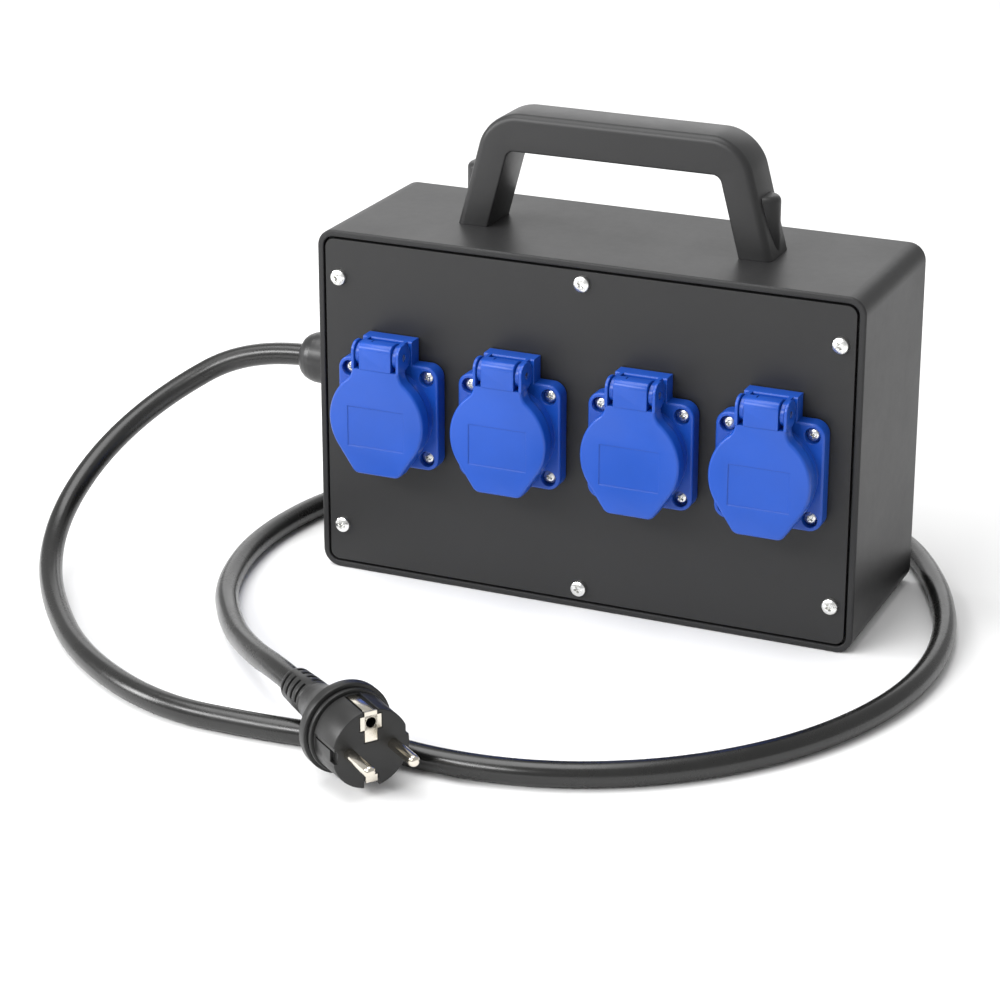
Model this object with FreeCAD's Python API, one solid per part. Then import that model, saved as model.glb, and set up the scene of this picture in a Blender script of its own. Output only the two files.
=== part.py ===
import FreeCAD, Part
import math
import os

# Portable power distribution box: a deep enclosure with a flush front panel, four hinged-lid
# earthed sockets, a bridge handle, a side cable gland, and a free cable that ends in a plug.
# Frame: millimetres, +Z up, +X to the right of someone facing the sockets, +Y to the back.
# The origin is the middle of the enclosure's bottom face.

os.makedirs("parts", exist_ok=True)

Vec = FreeCAD.Vector
X = Vec(1, 0, 0)
Y = Vec(0, 1, 0)
Z = Vec(0, 0, 1)

# ---- Enclosure ----
BOX_W = 256.0
BOX_H = 162.0
BOX_D = 90.0
WALL = 3.0
EDGE_R = 8.0             # rounding of the four long edges that run front to back
BACK_R = 1.6             # rounding round the back face
FRONT_R = 0.8            # rounding round the front rim
RIM_W = 2.8              # width of the rim round the front panel
GROOVE_W = 1.2           # gap between the rim and the panel
FRONT_Y = -BOX_D / 2
LEDGE_W = 14.0           # seat for the panel, measured from the outer wall
LEDGE_T = 3.0

# ---- Front panel ----
PANEL_T = 3.0
PANEL_GASKET_T = 0.8
PANEL_CORNER_R = 4.2
CORNER_SCREW_X = 117.5
CORNER_SCREW_DZ = 59.5   # above and below the middle of the panel
MIDDLE_SCREW_DZ = 71.4
BOSS_R = 3.9
BOSS_L = 9.0

# ---- Sockets ----
SOCKET_X = (-90.0, -31.0, 31.0, 90.0)
SOCKET_Z = 82.2
FLANGE = 49.0
FLANGE_T = 7.2
FLANGE_R = 6.0
FLANGE_GASKET_T = 0.8
SCREW_SPACING = 38.0
POCKET_R = 3.6
POCKET_DEPTH = 3.5
COLLAR_R = 22.0
COLLAR_T = 5.6
WELL_R = 19.75
WELL_DEPTH = 17.5
BACK_BODY_R = 21.8
BACK_BODY_Y = -22.0
PIN_SPACING = 19.0       # between the two contact holes, and between the two plug pins
CONTACT_HOLE_R = 2.6

# ---- Hinge and lid ----
AXIS_Y = -60.0
AXIS_DZ = 30.0           # hinge axis above the socket's centre
HINGE_TOP_DZ = 35.3
HINGE_HALF = 12.0
BARREL_R = 6.0
BARREL_HALF = 7.7
ARM_IN = 8.1
ARM_OUT = 9.9
ARM_R = 5.2
EAR_IN = 10.3
EAR_OUT = 11.6
HINGE_PIN_R = 1.5
LID_R = 23.2
LID_FRONT_Y = -66.0
LID_BACK_Y = -59.0
LID_SKIN = 2.4
LID_WALL = 1.9
TAB_DZ = -25.6           # flat finger edge at the bottom of the lid
LOW_SIDE = 34.0          # how far below level the lid's lower straight sides face, in degrees
HIGH_SIDE = 50.0         # how far above level its upper straight sides face
BROW_R = 3.4             # rounding of the hinge's upper front edge

# ---- Handle ----
HANDLE_D = 25.0
HANDLE_H = 53.0
GRIP_T = 17.0
FOOT_OUT = 74.5
FOOT_IN = 59.5
LEG_SLOPE = 0.268        # sideways lean of each leg per millimetre of height
HANDLE_SCREW_X = 66.5
SEAT_H = 8.0             # height of the screw head's seat above the enclosure
CAP_R = 7.5
CAP_TOP_H = 27.0

# ---- Gland, cable and plug ----
GLAND_Z = 84.0
GLAND_END_X = -159.0
CABLE_R = 5.25
PLUG_X = -20.7           # middle of the plug's grip ring
PLUG_Y = -234.3
PLUG_YAW = 53.0          # heading of the plug's pins, turned from -Y towards +X
PLUG_Z = 21.0            # height of the plug's axis: the cable passes under it
RING_R = 19.2
RING_BACK = -3.5         # along the plug's axis, from the middle of the ring
RING_FRONT = 1.0
RIM_R = 17.8             # low step in front of the ring
RIM_FRONT = 3.8
FACE_R = 16.6
FACE_L = 21.5            # from the middle of the ring to the plug's face
RELIEF_START = 27.5
RELIEF_END = 47.0
PLUG_PIN_R = 2.4
PIN_ROOT_R = 2.0         # thinner part of each pin, inside the plug
TOP_PLATE = 13.4         # how far in from the edge each earth plate reaches on the plug's face
LOW_PLATE = 5.4
PLATE_HOLE_Z = 11.3      # height of the earth hole above the plug's axis
PLUG_PIN_L = 19.0

# The cable's route, from the gland to the plug's strain relief.  It comes down to the floor on the
# left, runs in front of the box, round the right end and behind it, and comes back to the plug.
LYING = CABLE_R
CABLE_ROUTE = (
    (-159, 0, 84), (-192, 0, 84), (-220, -11, 71), (-239, -37, 51), (-245, -70, 32),
    (-237, -105, 15), (-213, -145, LYING), (-170, -189, LYING), (-118, -218, LYING),
    (-69, -219, LYING), (-24, -213, LYING), (20, -218, LYING), (66, -209, LYING),
    (110, -182, LYING), (146, -138, LYING), (166, -82, LYING), (165, -22, LYING),
    (150, 42, LYING), (112, 98, LYING), (38, 110, LYING), (-44, 104, LYING),
    (-122, 88, LYING), (-160, 30, LYING), (-165, -38, LYING), (-153, -95, LYING),
    (-124, -141, 8), (-94, -175, 15),
)
PLUG_LEAD = 16.0         # straight length of cable before the plug's strain relief
RUN_SHARE = 0.45         # share of the shorter run that each bend of the cable takes up

WIRE_R = 1.3

solids = {}


def box(x0, x1, y0, y1, z0, z1):
    return Part.makeBox(x1 - x0, y1 - y0, z1 - z0, Vec(x0, y0, z0))


def rod(radius, start, end):
    start = Vec(*start)
    along = Vec(*end) - start
    return Part.makeCylinder(radius, along.Length, start, along)


def fuse(first, *others):
    return first.fuse(list(others)).removeSplitter()


def rounded_face(corners, radii, place):
    """Flat face whose corners are rounded; place turns a pair of numbers into a point."""
    edges = []
    starts = []
    ends = []
    middles = []
    count = len(corners)
    for i in range(count):
        here = Vec(*corners[i], 0)
        before = Vec(*corners[i - 1], 0) - here
        after = Vec(*corners[(i + 1) % count], 0) - here
        before.normalize()
        after.normalize()
        half = before.getAngle(after) / 2
        reach = radii[i] / math.tan(half)
        inward = before + after
        inward.normalize()
        centre = here + inward * (radii[i] / math.sin(half))
        starts.append(here + before * reach)
        ends.append(here + after * reach)
        middles.append(centre - inward * radii[i])
    for i in range(count):
        if radii[i] > 0:
            edges.append(Part.Arc(place(starts[i]), place(middles[i]), place(ends[i])).toShape())
        nxt = starts[(i + 1) % count]
        if (nxt - ends[i]).Length > 1e-6:
            edges.append(Part.LineSegment(place(ends[i]), place(nxt)).toShape())
    return Part.Face(Part.Wire(edges))


def plate(width, height, radius, y0, y1, x=0.0, z=0.0):
    """Upright rounded rectangle, centred on x and z, from y0 back to y1."""
    w, h = width / 2, height / 2
    corners = ((-w, -h), (w, -h), (w, h), (-w, h))
    face = rounded_face(corners, [radius] * 4, lambda p: Vec(x + p.x, y0, z + p.y))
    return face.extrude(Vec(0, y1 - y0, 0))


def hexagon(across_flats, start, along):
    """Hexagonal bar from start, as long as the vector along."""
    start = Vec(*start)
    along = Vec(*along)
    side = Z if abs(along.z) < 1e-6 else X
    corner = side * (across_flats / math.sqrt(3))
    ring = []
    for i in range(7):
        ring.append(start + FreeCAD.Rotation(along, 60 * i).multVec(corner))
    return Part.Face(Part.makePolygon(ring)).extrude(along)


def turned(profile, base, axis, side):
    """Solid of revolution; profile is a list of (distance along axis, radius)."""
    points = [base + axis * d + side * r for d, r in profile]
    return Part.Face(Part.makePolygon(points + [points[0]])).revolve(base, axis, 360)


def edges_where(shape, test):
    return [edge for edge in shape.Edges if test(edge.BoundBox)]


def bent_path(points, share):
    """Straight runs joined by arcs tangent to both, and the arcs' radii."""
    points = [Vec(*p) for p in points]
    edges = []
    radii = []
    last = points[0]
    for before, here, after in zip(points, points[1:], points[2:]):
        back = before - here
        on = after - here
        reach = share * min(back.Length, on.Length)
        back.normalize()
        on.normalize()
        half = back.getAngle(on) / 2
        radius = reach * math.tan(half)
        inward = back + on
        inward.normalize()
        middle = here + inward * (radius / math.sin(half) - radius)
        edges.append(Part.LineSegment(last, here + back * reach).toShape())
        edges.append(Part.Arc(here + back * reach, middle, here + on * reach).toShape())
        last = here + on * reach
        radii.append(radius)
    edges.append(Part.LineSegment(last, points[-1]).toShape())
    return Part.Wire(edges), radii


def tube(points, radius, share=RUN_SHARE):
    path, radii = bent_path(points, share)
    start = Vec(*points[0])
    ring = Part.Wire(Part.makeCircle(radius, start, Vec(*points[1]) - start))
    solid = path.makePipeShell([ring], True, False, 2)
    if solid.Volume < 0:
        solid.reverse()
    return solid, radii, path.Length


def cross_recess(size, depth, top, into):
    """Two crossed slots that sink from the point top in the direction into (along -Y to +Y)."""
    reach = size / 2
    slot = size / 6
    y0, y1 = sorted((top.y - 0.01, top.y + into.y * depth))
    return fuse(box(top.x - reach, top.x + reach, y0, y1, top.z - slot, top.z + slot),
                box(top.x - slot, top.x + slot, y0, y1, top.z - reach, top.z + reach))


def pan_screw(x, z, seat_y, head_r, head_h, shank_r, length):
    """Pan-head screw that goes in along +Y, its head's underside at seat_y."""
    base = Vec(x, seat_y, z)
    profile = ((0, 0), (0, head_r), (head_h * 0.45, head_r), (head_h * 0.8, head_r * 0.82),
               (head_h, head_r * 0.5), (head_h, 0))
    head = turned(profile, base, Y * -1, X)
    head = head.cut(cross_recess(head_r * 1.05, head_h * 0.5, base - Y * head_h, Y))
    shank = rod(shank_r, (x, seat_y, z), (x, seat_y + length, z))
    return fuse(head, shank)


def screw_places():
    """The front panel's six screws: four near the corners and two in the middle."""
    middle = BOX_H / 2
    places = [(sx * CORNER_SCREW_X, middle + sz * CORNER_SCREW_DZ) for sz in (1, -1) for sx in (-1, 1)]
    return places + [(0.0, middle + sz * MIDDLE_SCREW_DZ) for sz in (1, -1)]


# ---------------- Enclosure ----------------

def enclosure():
    middle = BOX_H / 2
    seat_y = FRONT_Y + PANEL_T + PANEL_GASKET_T
    ledge_y = seat_y + LEDGE_T
    outer = plate(BOX_W, BOX_H, EDGE_R, FRONT_Y, BOX_D / 2, z=middle)
    back = edges_where(outer, lambda b: b.YMin > BOX_D / 2 - 0.01)
    outer = outer.makeFillet(BACK_R, back)
    front = edges_where(outer, lambda b: b.YMax < FRONT_Y + 0.01)
    outer = outer.makeFillet(FRONT_R, front)
    recess = plate(BOX_W - 2 * RIM_W, BOX_H - 2 * RIM_W, EDGE_R - RIM_W, FRONT_Y - 1, seat_y, z=middle)
    mouth = plate(BOX_W - 2 * LEDGE_W, BOX_H - 2 * LEDGE_W, 4, seat_y, ledge_y, z=middle)
    room = plate(BOX_W - 2 * WALL, BOX_H - 2 * WALL, EDGE_R - WALL, ledge_y, BOX_D / 2 - WALL, z=middle)
    shell = outer.cut([recess, mouth, room])
    bosses = []
    holes = []
    for x, z in screw_places():
        bosses.append(rod(BOSS_R, (x, ledge_y - 0.5, z), (x, ledge_y + BOSS_L, z)))
        holes.append(rod(1.8, (x, seat_y - 1, z), (x, ledge_y + BOSS_L - 1, z)))
    shell = fuse(shell, *bosses).cut(holes)
    holes = [rod(3.2, (s * HANDLE_SCREW_X, 0, BOX_H - 5), (s * HANDLE_SCREW_X, 0, BOX_H + 1))
             for s in (-1, 1)]
    holes.append(rod(10.1, (-BOX_W / 2 - 1, 0, GLAND_Z), (-BOX_W / 2 + WALL + 1, 0, GLAND_Z)))
    solids["enclosure_shell"] = shell.cut(holes)


def front_panel():
    middle = BOX_H / 2
    inset = 2 * (RIM_W + GROOVE_W)
    panel = plate(BOX_W - inset, BOX_H - inset, PANEL_CORNER_R, FRONT_Y, FRONT_Y + PANEL_T, z=middle)
    holes = [rod(1.95, (x, FRONT_Y - 1, z), (x, FRONT_Y + 5, z)) for x, z in screw_places()]
    for cx in SOCKET_X:
        holes.append(rod(22.2, (cx, FRONT_Y - 1, SOCKET_Z), (cx, FRONT_Y + 5, SOCKET_Z)))
        for x, z in flange_screw_places(cx):
            holes.append(rod(1.65, (x, FRONT_Y - 1, z), (x, FRONT_Y + 5, z)))
    solids["front_panel"] = panel.cut(holes)

    y0 = FRONT_Y + PANEL_T
    y1 = y0 + PANEL_GASKET_T
    gap = 2 * (RIM_W + 0.2)
    gasket = plate(BOX_W - gap, BOX_H - gap, EDGE_R - RIM_W - 0.2, y0, y1, z=middle)
    gasket = gasket.cut(plate(BOX_W - 2 * LEDGE_W + 1, BOX_H - 2 * LEDGE_W + 1, 4, y0, y1, z=middle))
    holes = [rod(2.2, (x, y0 - 1, z), (x, y1 + 1, z)) for x, z in screw_places()]
    solids["panel_gasket"] = gasket.cut(holes)

    screws = [pan_screw(x, z, FRONT_Y, 3.6, 2.3, 1.74, 14.0) for x, z in screw_places()]
    solids["panel_screws"] = Part.makeCompound(screws)


# ---------------- Sockets ----------------

def flange_screw_places(cx):
    half = SCREW_SPACING / 2
    return [(cx + sx * half, SOCKET_Z + sz * half) for sz in (1, -1) for sx in (-1, 1)]


FLANGE_BACK_Y = FRONT_Y - FLANGE_GASKET_T
FLANGE_FRONT_Y = FLANGE_BACK_Y - FLANGE_T
COLLAR_Y = FLANGE_FRONT_Y - COLLAR_T
WELL_FLOOR_Y = COLLAR_Y + WELL_DEPTH
AXIS_Z = SOCKET_Z + AXIS_DZ


def socket_housing(cx):
    z = SOCKET_Z
    flange = plate(FLANGE, FLANGE, FLANGE_R, FLANGE_FRONT_Y, FLANGE_BACK_Y, x=cx, z=z)
    front = edges_where(flange, lambda b: b.YMax < FLANGE_FRONT_Y + 0.01)
    flange = flange.makeFillet(1.0, front)
    collar = rod(COLLAR_R, (cx, COLLAR_Y, z), (cx, FLANGE_BACK_Y, z))
    rear = rod(BACK_BODY_R, (cx, FLANGE_BACK_Y, z), (cx, BACK_BODY_Y, z))
    wall = box(cx - HINGE_HALF, cx + HINGE_HALF, FLANGE_FRONT_Y, FLANGE_BACK_Y, z + 20, z + HINGE_TOP_DZ)
    rim = edges_where(wall, lambda b: b.ZMin > z + HINGE_TOP_DZ - 0.01 and b.YMax < FLANGE_BACK_Y)
    wall = wall.makeFillet(0.8, rim)
    arms = []
    for side in (-1, 1):
        x0, x1 = sorted((cx + side * ARM_IN, cx + side * ARM_OUT))
        arms.append(box(x0, x1, AXIS_Y, FLANGE_FRONT_Y + 0.5, AXIS_Z - ARM_R, AXIS_Z + ARM_R))
        arms.append(rod(ARM_R, (x0, AXIS_Y, AXIS_Z), (x1, AXIS_Y, AXIS_Z)))
    shape = fuse(flange, collar, rear, wall, *arms)
    cuts = [rod(WELL_R, (cx, COLLAR_Y - 1, z), (cx, BACK_BODY_Y + 1, z)),
            rod(HINGE_PIN_R + 0.04, (cx - 13, AXIS_Y, AXIS_Z), (cx + 13, AXIS_Y, AXIS_Z))]
    for x, sz in flange_screw_places(cx):
        seat = FLANGE_FRONT_Y + POCKET_DEPTH
        cuts.append(rod(POCKET_R, (x, FLANGE_FRONT_Y - 1, sz), (x, seat, sz)))
        cuts.append(rod(1.6, (x, seat - 1, sz), (x, FLANGE_BACK_Y + 1, sz)))
    return shape.cut(cuts)


def socket_insert(cx):
    """Floor of the well, with the two contact holes and the two side guide ribs."""
    z = SOCKET_Z
    back = BACK_BODY_Y - 2.0
    block = rod(WELL_R - 0.1, (cx, WELL_FLOOR_Y, z), (cx, back, z))
    parts = [block]
    for side in (-1, 1):
        x0, x1 = sorted((cx + side * (WELL_R - 3.0), cx + side * WELL_R))
        rib = box(x0, x1, COLLAR_Y + 1.0, WELL_FLOOR_Y + 0.5, z - 2.6, z + 2.6)
        parts.append(rib.common(rod(WELL_R - 0.1, (cx, COLLAR_Y, z), (cx, back, z))))
    shape = fuse(*parts)
    cuts = []
    for side in (-1, 1):
        x = cx + side * PIN_SPACING / 2
        cuts.append(rod(CONTACT_HOLE_R, (x, WELL_FLOOR_Y - 1, z), (x, back + 1, z)))
        cuts.append(rod(3.5, (x, WELL_FLOOR_Y + 3.5, z), (x, back + 1, z)))
        z0, z1 = sorted((z + side * 15.6, z + side * 21.0))
        cuts.append(box(cx - 3.3, cx + 3.3, WELL_FLOOR_Y - 1, back + 1, z0, z1))
    return shape.cut(cuts)


def socket_contacts(cx):
    """A pair of brass sleeves that grip the plug's pins, with a wire terminal behind each."""
    pair = []
    for side in (-1, 1):
        x = cx + side * PIN_SPACING / 2
        front = WELL_FLOOR_Y + 3.6
        sleeve = rod(3.4, (x, front, SOCKET_Z), (x, BACK_BODY_Y, SOCKET_Z))
        lug = box(x - 3.2, x + 3.2, BACK_BODY_Y - 1.9, BACK_BODY_Y + 3.0, SOCKET_Z - 5, SOCKET_Z + 5)
        shape = fuse(sleeve, lug.common(box(x - 4, x + 4, BACK_BODY_Y - 0.2, 0, 0, BOX_H)))
        pair.append(shape.cut(rod(CONTACT_HOLE_R, (x, front - 1, SOCKET_Z), (x, front + 15, SOCKET_Z))))
    return Part.makeCompound(pair)


def earth_contact(cx):
    """A springy strip: two arms along the top and bottom of the well, joined behind the insert."""
    parts = [box(cx - 3, cx + 3, BACK_BODY_Y, BACK_BODY_Y + 1, SOCKET_Z - 18.3, SOCKET_Z + 18.3)]
    for side in (-1, 1):
        def at(p):
            return Vec(cx - 3, p.x, SOCKET_Z + side * p.y)
        y0 = COLLAR_Y + 2.5
        line = ((BACK_BODY_Y + 1, 18.3), (y0 + 8, 18.3), (y0 + 3, 17.4), (y0, 18.6), (y0 - 0.4, 17.8),
                (y0 + 3, 16.4), (y0 + 8, 17.3), (BACK_BODY_Y + 1, 17.3))
        points = [at(Vec(*p, 0)) for p in line]
        parts.append(Part.Face(Part.makePolygon(points + [points[0]])).extrude(Vec(6, 0, 0)))
    return fuse(*parts)


def lid_outline(cx, inset, y0, y1):
    """Disc with straight sides down to a flat finger edge, and a neck up to the hinge."""
    z = SOCKET_Z
    r = LID_R - inset
    tab = TAB_DZ + inset
    neck = EAR_OUT - inset
    low = math.radians(LOW_SIDE)
    high = math.radians(HIGH_SIDE)
    foot = (r + tab * math.sin(low)) / math.cos(low)
    nape = (r - neck * math.cos(high)) / math.sin(high)
    disc = rod(r, (cx, y0, z), (cx, y1, z))
    side = (r * math.cos(low), -r * math.sin(low))
    corners = ((-foot, tab), (foot, tab), side, (0, 0), (-side[0], side[1]))
    low_face = rounded_face(corners, [2.5, 2.5, 0, 0, 0], lambda p: Vec(cx + p.x, y0, z + p.y))
    side = (r * math.cos(high), r * math.sin(high))
    corners = ((-neck, 26), (-neck, nape), (-side[0], side[1]), (0, 0), side, (neck, nape), (neck, 26))
    high_face = rounded_face(corners, [0] * 7, lambda p: Vec(cx + p.x, y0, z + p.y))
    along = Vec(0, y1 - y0, 0)
    return fuse(disc, low_face.extrude(along), high_face.extrude(along))


def socket_lid(cx):
    z = SOCKET_Z
    outer = lid_outline(cx, 0, LID_FRONT_Y, LID_BACK_Y)
    hollow = lid_outline(cx, LID_WALL, LID_FRONT_Y + LID_SKIN, LID_BACK_Y + 1)
    hollow = hollow.common(box(cx - 40, cx + 40, -80, 0, z - 40, z + 21.2))
    outer = outer.common(box(cx - 40, cx + 40, -80, 0, z - 40, z + 25))
    shell = outer.cut(hollow)
    neck = box(cx - EAR_OUT, cx + EAR_OUT, LID_FRONT_Y, AXIS_Y, z + 21.3, AXIS_Z)
    barrel = rod(BARREL_R, (cx - EAR_OUT, AXIS_Y, AXIS_Z), (cx + EAR_OUT, AXIS_Y, AXIS_Z))
    brow = box(cx - EAR_OUT, cx + EAR_OUT, LID_FRONT_Y, AXIS_Y, AXIS_Z, AXIS_Z + BARREL_R)
    edge = edges_where(brow, lambda b: b.ZMin > AXIS_Z + 1 and b.YMax < LID_FRONT_Y + 0.01)
    shape = fuse(shell, neck, barrel, brow.makeFillet(BROW_R, edge))
    edge = edges_where(shape, lambda b: b.YMax < LID_FRONT_Y + 0.01 and b.ZMax < z + 24.9)
    shape = shape.makeFillet(0.7, edge)
    cuts = [rod(HINGE_PIN_R + 0.07, (cx - 13, AXIS_Y, AXIS_Z), (cx + 13, AXIS_Y, AXIS_Z)),
            rod(3.7, (cx - 5.2, AXIS_Y, AXIS_Z), (cx + 5.2, AXIS_Y, AXIS_Z))]
    for side in (-1, 1):
        x0, x1 = sorted((cx + side * BARREL_HALF, cx + side * EAR_IN))
        cuts.append(box(x0, x1, -75, -50, z + 23.9, z + 40))
    return shape.cut(cuts)


def lid_seal(cx):
    """Ring inside the lid that closes on the collar's front rim."""
    front = LID_FRONT_Y + LID_SKIN
    ring = rod(21.1, (cx, front, SOCKET_Z), (cx, COLLAR_Y - 0.35, SOCKET_Z))
    return ring.cut(rod(18.6, (cx, front - 1, SOCKET_Z), (cx, 0, SOCKET_Z)))


def lid_spring(cx):
    """Torsion spring round the hinge pin, inside the lid's barrel."""
    turns = 7
    pitch = 1.2
    coil_r = 2.6
    wire_r = 0.42
    helix = Part.makeHelix(pitch, pitch * turns, coil_r)
    section = Part.Wire(Part.makeCircle(wire_r, Vec(coil_r, 0, 0), Vec(0, 1, 0)))
    coil = Part.Wire(helix).makePipeShell([section], True, True)
    coil.rotate(Vec(), Y, 90)
    coil.translate(Vec(cx - pitch * turns / 2, AXIS_Y, AXIS_Z))
    return coil


def sockets():
    screws = []
    nuts = []
    gaskets = []
    pins = []
    springs = []
    for number, cx in enumerate(SOCKET_X, 1):
        solids["socket_housing_%d" % number] = socket_housing(cx)
        solids["socket_insert_%d" % number] = socket_insert(cx)
        solids["socket_contacts_%d" % number] = socket_contacts(cx)
        solids["earth_contact_%d" % number] = earth_contact(cx)
        solids["lid_%d" % number] = socket_lid(cx)
        solids["lid_seal_%d" % number] = lid_seal(cx)
        springs.append(lid_spring(cx))
        pins.append(rod(HINGE_PIN_R, (cx - 11.4, AXIS_Y, AXIS_Z), (cx + 11.4, AXIS_Y, AXIS_Z)))
        seat = FLANGE_FRONT_Y + POCKET_DEPTH
        gasket = plate(FLANGE - 1, FLANGE - 1, FLANGE_R - 0.5, FLANGE_BACK_Y, FRONT_Y, x=cx, z=SOCKET_Z)
        holes = [rod(22.2, (cx, FLANGE_BACK_Y - 1, SOCKET_Z), (cx, FRONT_Y + 1, SOCKET_Z))]
        for x, z in flange_screw_places(cx):
            screws.append(pan_screw(x, z, seat, 2.75, 1.9, 1.45, 13.5))
            nut = hexagon(5.5, (x, FRONT_Y + PANEL_T, z), (0, 2.4, 0))
            nuts.append(nut.cut(rod(1.5, (x, FRONT_Y, z), (x, FRONT_Y + 10, z))))
            holes.append(rod(1.65, (x, FLANGE_BACK_Y - 1, z), (x, FRONT_Y + 1, z)))
        gaskets.append(gasket.cut(holes))
    solids["socket_screws"] = Part.makeCompound(screws)
    solids["socket_nuts"] = Part.makeCompound(nuts)
    solids["flange_gaskets"] = Part.makeCompound(gaskets)
    solids["hinge_pins"] = Part.makeCompound(pins)
    solids["lid_springs"] = Part.makeCompound(springs)


# ---------------- Handle ----------------

def handle():
    top = BOX_H + HANDLE_H
    under = top - GRIP_T
    lean = LEG_SLOPE
    out_top = FOOT_OUT - lean * HANDLE_H
    in_top = FOOT_IN - lean * (HANDLE_H - GRIP_T)
    half = HANDLE_D / 2
    corners = ((-FOOT_OUT, BOX_H), (-FOOT_IN, BOX_H), (-in_top, under), (in_top, under),
               (FOOT_IN, BOX_H), (FOOT_OUT, BOX_H), (out_top, top), (-out_top, top))
    radii = (0, 0, 4.0, 4.0, 0, 0, 20.0, 20.0)
    face = rounded_face(corners, radii, lambda p: Vec(p.x, -half, p.y))
    body = face.extrude(Vec(0, HANDLE_D, 0))

    def outer_edge(b):
        flat = b.YMax - b.YMin < 0.01
        inside = b.XMax < in_top + 1 and b.XMin > -in_top - 1 and b.ZMax < under + 1
        leg_in = abs(b.Center.x) < (FOOT_IN + in_top) / 2 + 1 and b.ZMax < under
        foot = b.ZMax < BOX_H + 0.01
        return flat and not inside and not leg_in and not foot

    body = body.makeChamfer(2.6, edges_where(body, outer_edge))
    seat = BOX_H + SEAT_H
    for side in (-1, 1):
        x = side * HANDLE_SCREW_X
        body = fuse(body, rod(CAP_R, (x, 0, BOX_H), (x, 0, seat)))
        x0, x1 = sorted((x, x + side * 14))
        pocket = fuse(rod(CAP_R + 0.1, (x, 0, seat), (x, 0, BOX_H + CAP_TOP_H + 0.1)),
                      box(x0, x1, -CAP_R - 0.1, CAP_R + 0.1, seat, BOX_H + CAP_TOP_H + 0.1))
        hole = rod(3.2, (x, 0, BOX_H - 1), (x, 0, seat + 1))
        body = body.cut([pocket, hole])
    solids["handle"] = body


def handle_fixings():
    seat = BOX_H + SEAT_H
    top = BOX_H + CAP_TOP_H
    screws = []
    washers = []
    nuts = []
    for side, name in ((-1, "left"), (1, "right")):
        x = side * HANDLE_SCREW_X
        cap = rod(CAP_R, (x, 0, seat + 0.1), (x, 0, top))
        cap = cap.makeFillet(1.6, edges_where(cap, lambda b: b.ZMin > top - 0.01))
        lean = [(side * (FOOT_OUT - LEG_SLOPE * h), h) for h in (CAP_TOP_H, SEAT_H)]
        line = [Vec(x, -CAP_R, BOX_H + SEAT_H + 0.1), Vec(x, -CAP_R, top),
                Vec(lean[0][0], -CAP_R, top), Vec(lean[1][0], -CAP_R, BOX_H + SEAT_H + 0.1)]
        fill = Part.Face(Part.makePolygon(line + [line[0]])).extrude(Vec(0, 2 * CAP_R, 0))
        cap = fuse(cap, fill).cut(rod(5.7, (x, 0, seat - 1), (x, 0, seat + 7)))
        solids["handle_cap_" + name] = cap
        screw = fuse(rod(5.0, (x, 0, seat), (x, 0, seat + 6)), rod(2.95, (x, 0, seat), (x, 0, seat - 25)))
        screws.append(screw.cut(hexagon(5.0, (x, 0, seat + 3), (0, 0, 4))))
        under = BOX_H - WALL
        washer = rod(6.0, (x, 0, under), (x, 0, under - 1.6))
        washers.append(washer.cut(rod(3.2, (x, 0, under + 1), (x, 0, under - 3))))
        nut = hexagon(10.0, (x, 0, under - 6.6), (0, 0, 5.0))
        nuts.append(nut.cut(rod(3.0, (x, 0, under), (x, 0, under - 9))))
    solids["handle_screws"] = Part.makeCompound(screws)
    solids["handle_washers"] = Part.makeCompound(washers)
    solids["handle_nuts"] = Part.makeCompound(nuts)


# ---------------- Gland ----------------

def gland():
    wall_x = -BOX_W / 2
    z = GLAND_Z
    axis = X * -1
    origin = Vec(wall_x, 0, z)
    washer = rod(13.0, (wall_x, 0, z), (wall_x - 1.0, 0, z))
    solids["gland_washer"] = washer.cut(rod(10.1, (wall_x + 1, 0, z), (wall_x - 2, 0, z)))
    body = fuse(hexagon(24.0, (wall_x - 1.0, 0, z), (-5.5, 0, 0)),
                rod(10.0, (wall_x + 12.0, 0, z), (wall_x - 17.0, 0, z)))
    body = body.cut(rod(5.6, (wall_x + 13, 0, z), (wall_x - 18, 0, z)))
    body = body.cut(rod(8.2, (wall_x - 12, 0, z), (wall_x - 18, 0, z)))
    solids["gland_body"] = body
    length = wall_x - GLAND_END_X
    dome = []
    for i in range(7):
        angle = math.radians(15 * i)
        dome.append((length - 9.5 + 9.5 * math.sin(angle), 6.4 + 5.8 * math.cos(angle)))
    profile = [(6.8, 10.1), (6.8, 12.2)] + dome
    profile += [(length, 5.45), (length - 4, 5.45), (length - 9.5, 10.1)]
    solids["gland_dome_nut"] = turned(profile, origin, axis, Z)
    seal = rod(8.0, (wall_x - 12.1, 0, z), (wall_x - 21.0, 0, z))
    solids["gland_seal"] = seal.cut(rod(5.3, (wall_x, 0, z), (wall_x - 30, 0, z)))
    nut = hexagon(26.0, (wall_x + WALL, 0, z), (5.0, 0, 0))
    solids["gland_lock_nut"] = nut.cut(rod(10.05, (wall_x, 0, z), (wall_x + 12, 0, z)))


# ---------------- Cable and plug ----------------

def plug_frame():
    """Placement that takes the plug's own frame (+X forward, +Z up) to where it lies."""
    heading = FreeCAD.Rotation(Z, PLUG_YAW - 90)
    return FreeCAD.Placement(Vec(PLUG_X, PLUG_Y, PLUG_Z), heading)


def placed(shape):
    copy = shape.copy()
    copy.Placement = plug_frame().multiply(copy.Placement)
    return copy


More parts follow.
